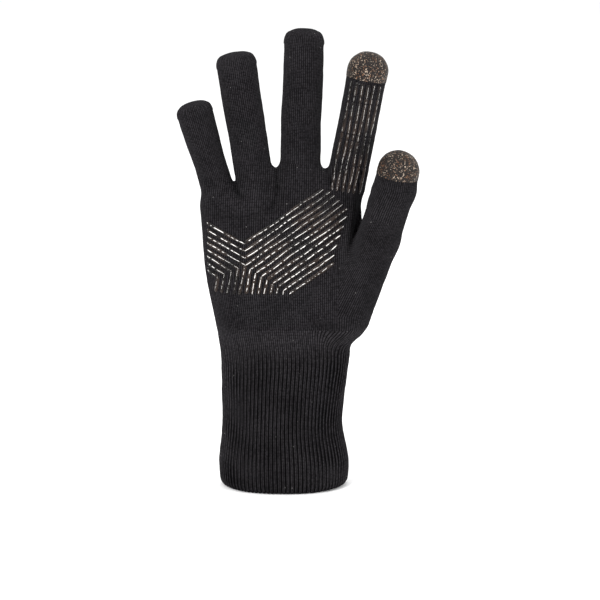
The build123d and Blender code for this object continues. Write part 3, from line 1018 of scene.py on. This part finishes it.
def yarn_material():
    m = Nodes("seam_yarn")
    twist = m.math("SINE", m.times(m.plus(*m.uv()), 2.4))
    base = m.mix(m.noise(900.0), colour(0.010, 0.010, 0.011), colour(0.030, 0.029, 0.031))
    return m.set(Base_Color=base, Roughness=0.8, Normal=m.bump(twist, 0.0003),
                 Specular_IOR_Level=0.0)


def liner_material():
    """Brushed fleece."""
    m = Nodes("liner")
    nap = m.noise(1500.0, 4.0)
    base = m.mix(m.noise(250.0, 4.0), colour(0.012, 0.012, 0.013), colour(0.034, 0.033, 0.036))
    return m.set(Base_Color=base, Roughness=0.95, Normal=m.bump(nap, 0.0006), Sheen_Weight=0.05,
                 Specular_IOR_Level=0.0)


# ---------------- printed grip
# On the palm the bars run round a point where three directions, in degrees, meet.
STAR = np.array((-22.7, 140.4))
STAR_LINES, SECTOR_BARS = (34.5, 152.5, 259.0), (3, 4, 8)
BAR_PITCH, BAR_WIDTH, BAR_HEIGHT = 3.65, 2.3, 0.55
OUTLINE = np.array([(-46, 122.4), (-46, 172), (-6, 173), (27, 187), (36, 177), (40, 173), (31, 145),
                    (31, 122.4)])
BAR_STEP = 0.7  # between the points of a bar
LONGEST_BAR, SHORTEST_BAR = 160, 4 * BAR_STEP
INDEX_OFFSETS = np.arange(-2.5, 3) * 3.4
INDEX_BAR_WIDTH = 2.0
INDEX_BARS_FROM, INDEX_BARS_GAP = -24.0, 1.5
SEAM_WIDTH, SEAM_HEIGHT = 1.5, 0.4


def inside_outline(q):
    """Which points, in X and Z, the printed patch holds."""
    result = np.zeros(len(q), bool)
    for (x0, y0), (x1, y1) in zip(OUTLINE, np.roll(OUTLINE, -1, axis=0)):
        crosses = (y0 > q[:, 1]) != (y1 > q[:, 1])
        edge = x0 + (q[:, 1] - y0) / ((y1 - y0) or 1e-9) * (x1 - x0)
        result ^= crosses & (q[:, 0] < edge)
    return result


def heading(degrees):
    angle = math.radians(degrees)
    return np.array((math.cos(angle), math.sin(angle)))


def star_lines():
    """Middle lines of the palm's bars, in X and Z."""
    starts = [(STAR, d) for d in STAR_LINES]
    ends = STAR_LINES[1:] + (STAR_LINES[0] + 360,)
    for first, second, count in zip(STAR_LINES, ends, SECTOR_BARS):
        half = (second - first) / 2
        for i in range(1, count + 1):
            out = i * BAR_PITCH / math.sin(math.radians(half))
            corner = STAR + out * heading(first + half)
            starts += [(corner, first), (corner, second)]
    for start, direction in starts:
        t = np.arange(0, LONGEST_BAR, BAR_STEP)
        sway = 0.22 * np.sin(t / random.uniform(5, 9) + random.uniform(0, 6)) * np.clip(t / 6, 0, 1)
        line = start + np.outer(t, heading(direction)) + np.outer(sway, heading(direction + 90))
        kept = inside_outline(line)
        length = len(kept) if kept.all() else int(np.argmin(kept))
        if length * BAR_STEP > SHORTEST_BAR:
            yield line[:length]


def strip(centres, normals, width, height):
    """A raised bar with a rounded back, along a line: points, faces and their map."""
    side = unit(np.cross(unit(np.gradient(centres, axis=0)), normals))
    n = len(centres)
    along = length_along(centres)
    from_end = np.minimum(along, along[-1] - along)
    swell = np.sqrt(np.clip(1 - np.clip(1 - from_end / (width / 2), 0, 0.97) ** 2, 0, 1))
    swell *= 1 + 0.10 * np.sin(along / random.uniform(2, 5) + random.uniform(0, 6))
    arc = np.linspace(math.pi, 0, 9)
    across = np.append(np.cos(arc), [0.9, -0.9])
    x = across * width / 2
    y = np.append(np.sin(arc) ** 0.8 * height, [-0.35, -0.35])      # the foot sinks into the knit
    y[[0, 8]] = -0.1
    points = (centres[:, None] + side[:, None] * (x[:, None] * swell[:, None, None])
              + normals[:, None] * (y[:, None] * np.clip(swell, 0.3, 1)[:, None, None]))
    k = len(x)
    faces, knit = [], []
    for i in range(n - 1):
        for j in range(k):
            corners = [(i, j), (i + 1, j), (i + 1, (j + 1) % k), (i, (j + 1) % k)]
            faces.append([row * k + column for row, column in corners])
            knit += [(across[column], along[row]) for row, column in corners]
    faces.append(list(range(k)))
    faces.append([(n - 1) * k + j for j in reversed(range(k))])
    knit += [(1.0, 0.0)] * (2 * k)
    return points.reshape(-1, 3), faces, knit


def bars_piece(name, lines, width, height):
    points, faces, knit = [], [], []
    offset = 0
    for centres in lines:
        p, f, k = strip(centres, outward(centres), width, height)
        points.append(p)
        faces += [[i + offset for i in face] for face in f]
        knit += k
        offset += len(p)
    return make_object(name, np.vstack(points), faces, knit)


def press_on(points, start):
    """Points moved onto the palm side, straight from the glove's middle plane."""
    return cast(points, np.broadcast_to(np.array((0, -1.0, 0)), points.shape), start, 24)


# Each length of the index finger's bars, the CAD's bars that it stands for, and the body that it
# rides on or the hinge that it crosses.
INDEX_BARS = [
    ("heel", ["palm"], "palm"),
    ("root", ["palm", "index_base"], "root"),
    ("base", ["index_base"], "index_base"),
    ("knuckle", ["index_middle"], "knuckle"),
    ("middle", ["index_middle"], "index_middle"),
    ("tip", ["index_tip"], "end_joint"),
]


def make_grip(material):
    palm_lines = [press_on(np.insert(line, 1, 0.0, axis=1), 14.0) for line in star_lines()]
    root, knuckle, end_joint = (INDEX.band(hinge) for hinge in INDEX.hinges)
    spans = [(INDEX_BARS_FROM, root[0]), root, (root[1], knuckle[0]), knuckle,
             (knuckle[1], end_joint[0]), (end_joint[0], INDEX.length - INDEX_CAP - INDEX_BARS_GAP)]
    lengths = [[] for _ in spans]
    for offset in INDEX_OFFSETS:
        phase, pitch = random.uniform(0, 6), random.uniform(6, 10)
        for lines, span in zip(lengths, spans):
            s = rows_between(span, BAR_STEP)[0]
            side = offset + 0.25 * np.sin(s / pitch + phase)
            middle = INDEX.root + np.outer(s, INDEX.axis) + np.outer(side, INDEX.across)
            lines.append(press_on(middle, 8.0))
    palm = bars_piece("palm_grip_bars", palm_lines, BAR_WIDTH, BAR_HEIGHT)
    finish_piece(palm, material, body="palm")
    for (part, zones, on), lines in zip(INDEX_BARS, lengths):
        piece = bars_piece(f"index_{part}_grip_bars", lines, INDEX_BAR_WIDTH, BAR_HEIGHT)
        body = None if on in INDEX.hinges else on
        finish_piece(piece, material, [f"{zone}_grip_bars" for zone in zones], body)
        if not body:
            bend(piece, f"index_{on}", *INDEX.bend_ends(on))


def closing_seam(finger, material):
    """The sewn edge that closes a fingertip, from one side over the top to the other."""
    angles = np.linspace(-math.pi / 2, math.pi / 2, 41)
    hub = finger.at(finger.length - finger.corner)
    rays = np.sin(angles)[:, None] * finger.across + np.cos(angles)[:, None] * finger.axis
    line = cast(hub, rays, 6.0, 40)
    seam = bars_piece(f"{finger.name}_closing_seam", [line], SEAM_WIDTH, SEAM_HEIGHT)
    finish_piece(seam, material, body=f"{finger.name}_tip")


# ---------------- the glove
def make_knit(step, columns, cuff_columns):
    knit = knit_material("knit", colour(0.0275, 0.0255, 0.0280), 0.00028)
    rib = knit_material("rib_knit", colour(0.0365, 0.0338, 0.0370), 0.0002, ribs=0.85)
    conductive, yarn = cap_material(), yarn_material()

    hem, ribbed, wrist = cuff_parts(cuff_columns, step, ribbed=True)
    knit_piece("hem_welt", hem, HEM_WALL, rib, body="cuff")
    knit_piece("ribbed_cuff", ribbed, KNIT, rib, body="cuff")
    bend_at_wrist(knit_piece("wrist_knit", wrist, KNIT, rib))
    palm, gusset = hand_sheets(step)
    knit_piece("palm_knit", palm, KNIT, knit, body="palm")
    bend_with_thumb(knit_piece("thumb_gusset_knit", gusset, KNIT, knit))

    for finger in FINGERS:
        tube = stall_tube(finger, columns, step)
        finger_pieces(finger, tube, "knit", knit, KNIT, capped=finger is INDEX)
        if finger is INDEX:
            make_cap("index_touch_tip", tube.part(6), conductive, "index_tip")
        else:
            closing_seam(finger, yarn)
    tube = thumb_tube(columns, step)
    stall_pieces("thumb", THUMB_PARTS, THUMB_BENDS, tube, "knit", knit, KNIT, capped=True)
    make_cap("thumb_touch_tip", tube.part(3), conductive, "thumb_tip")


def make_liner():
    """The fleece inside, coarser than the knit and clear of its folds."""
    global depth_below
    depth_below = LINER_DEPTH
    fleece = liner_material()
    _, inner, wrist = cuff_parts(CUFF_LINER_COLUMNS, CUFF_LINER_ROWS, ribbed=False)
    knit_piece("cuff_liner", inner, LINER, fleece, body="cuff")
    bend_at_wrist(knit_piece("wrist_liner", wrist, LINER, fleece, ["cuff_liner", "palm_liner"]))
    palm, gusset = hand_sheets(LINER_NET)
    knit_piece("palm_liner", palm, LINER, fleece, body="palm")
    bend_with_thumb(knit_piece("thumb_gusset_liner", gusset, LINER, fleece, ["palm_liner"]))
    for finger in FINGERS:
        tube = stall_tube(finger, LINER_COLUMNS, LINER_ROWS)
        finger_pieces(finger, tube, "liner", fleece, LINER)
    tube = thumb_tube(LINER_COLUMNS, LINER_ROWS)
    stall_pieces("thumb", THUMB_PARTS, THUMB_BENDS, tube, "liner", fleece, LINER, capped=False)
    depth_below = 0.0


make_knit(*FULL_MESH)
make_liner()
make_grip(silicone_material())


# ---------------- stage, light and camera
def stage_material():
    m = Nodes("studio_floor")
    tone = m.mix(m.noise(6.0), colour(0.93, 0.93, 0.93), colour(0.95, 0.95, 0.95))
    return m.set(Base_Color=tone, Roughness=0.9)


def make_floor():
    mesh = bpy.data.meshes.new("floor")
    r = FLOOR_REACH
    mesh.from_pydata([(-r, -r, 0), (r, -r, 0), (r, r, 0), (-r, r, 0)], [], [[0, 1, 2, 3]])
    mesh.materials.append(stage_material())
    place_object("floor", mesh)


def aim(thing, target):
    thing.rotation_euler = (Vector(target) - thing.location).to_track_quat("-Z", "Y").to_euler()


def make_light(name, place, size, power):
    data = bpy.data.lights.new(name, "AREA")
    data.shape, data.size, data.energy = "SQUARE", size, power
    light = place_object(name, data)
    light.location = place
    aim(light, GLOVE_MIDDLE)


# Metres, degrees and watts.
FLOOR_REACH = 8
GLOVE_MIDDLE = (0, 0, 0.13)
VIEW_TARGET, VIEW_ELEVATION, VIEW_DISTANCE, VIEW_LENS = (0.0103, 0.0, 0.1150), 12, 2.4, 237.0
WORLD_LIGHT = 0.9

make_floor()
make_light("key", (-0.9, -1.5, 1.5), 0.9, 38)
make_light("fill", (1.5, -1.1, 0.8), 1.1, 16)
make_light("top", (0.1, 0.3, 1.9), 0.8, 16)

scene = bpy.context.scene
world = bpy.data.worlds.new("studio")
world.use_nodes = True
background = world.node_tree.nodes["Background"]
background.inputs["Color"].default_value = colour(1.0, 1.0, 1.0)
background.inputs["Strength"].default_value = WORLD_LIGHT
scene.world = world
scene.view_settings.view_transform = "Standard"

camera_data = bpy.data.cameras.new("camera")
camera_data.lens = VIEW_LENS
camera = place_object("camera", camera_data)
target, elevation = Vector(VIEW_TARGET), math.radians(VIEW_ELEVATION)
camera.location = target + Vector((0, -math.cos(elevation), math.sin(elevation))) * VIEW_DISTANCE
aim(camera, target)
bpy.context.scene.camera = camera
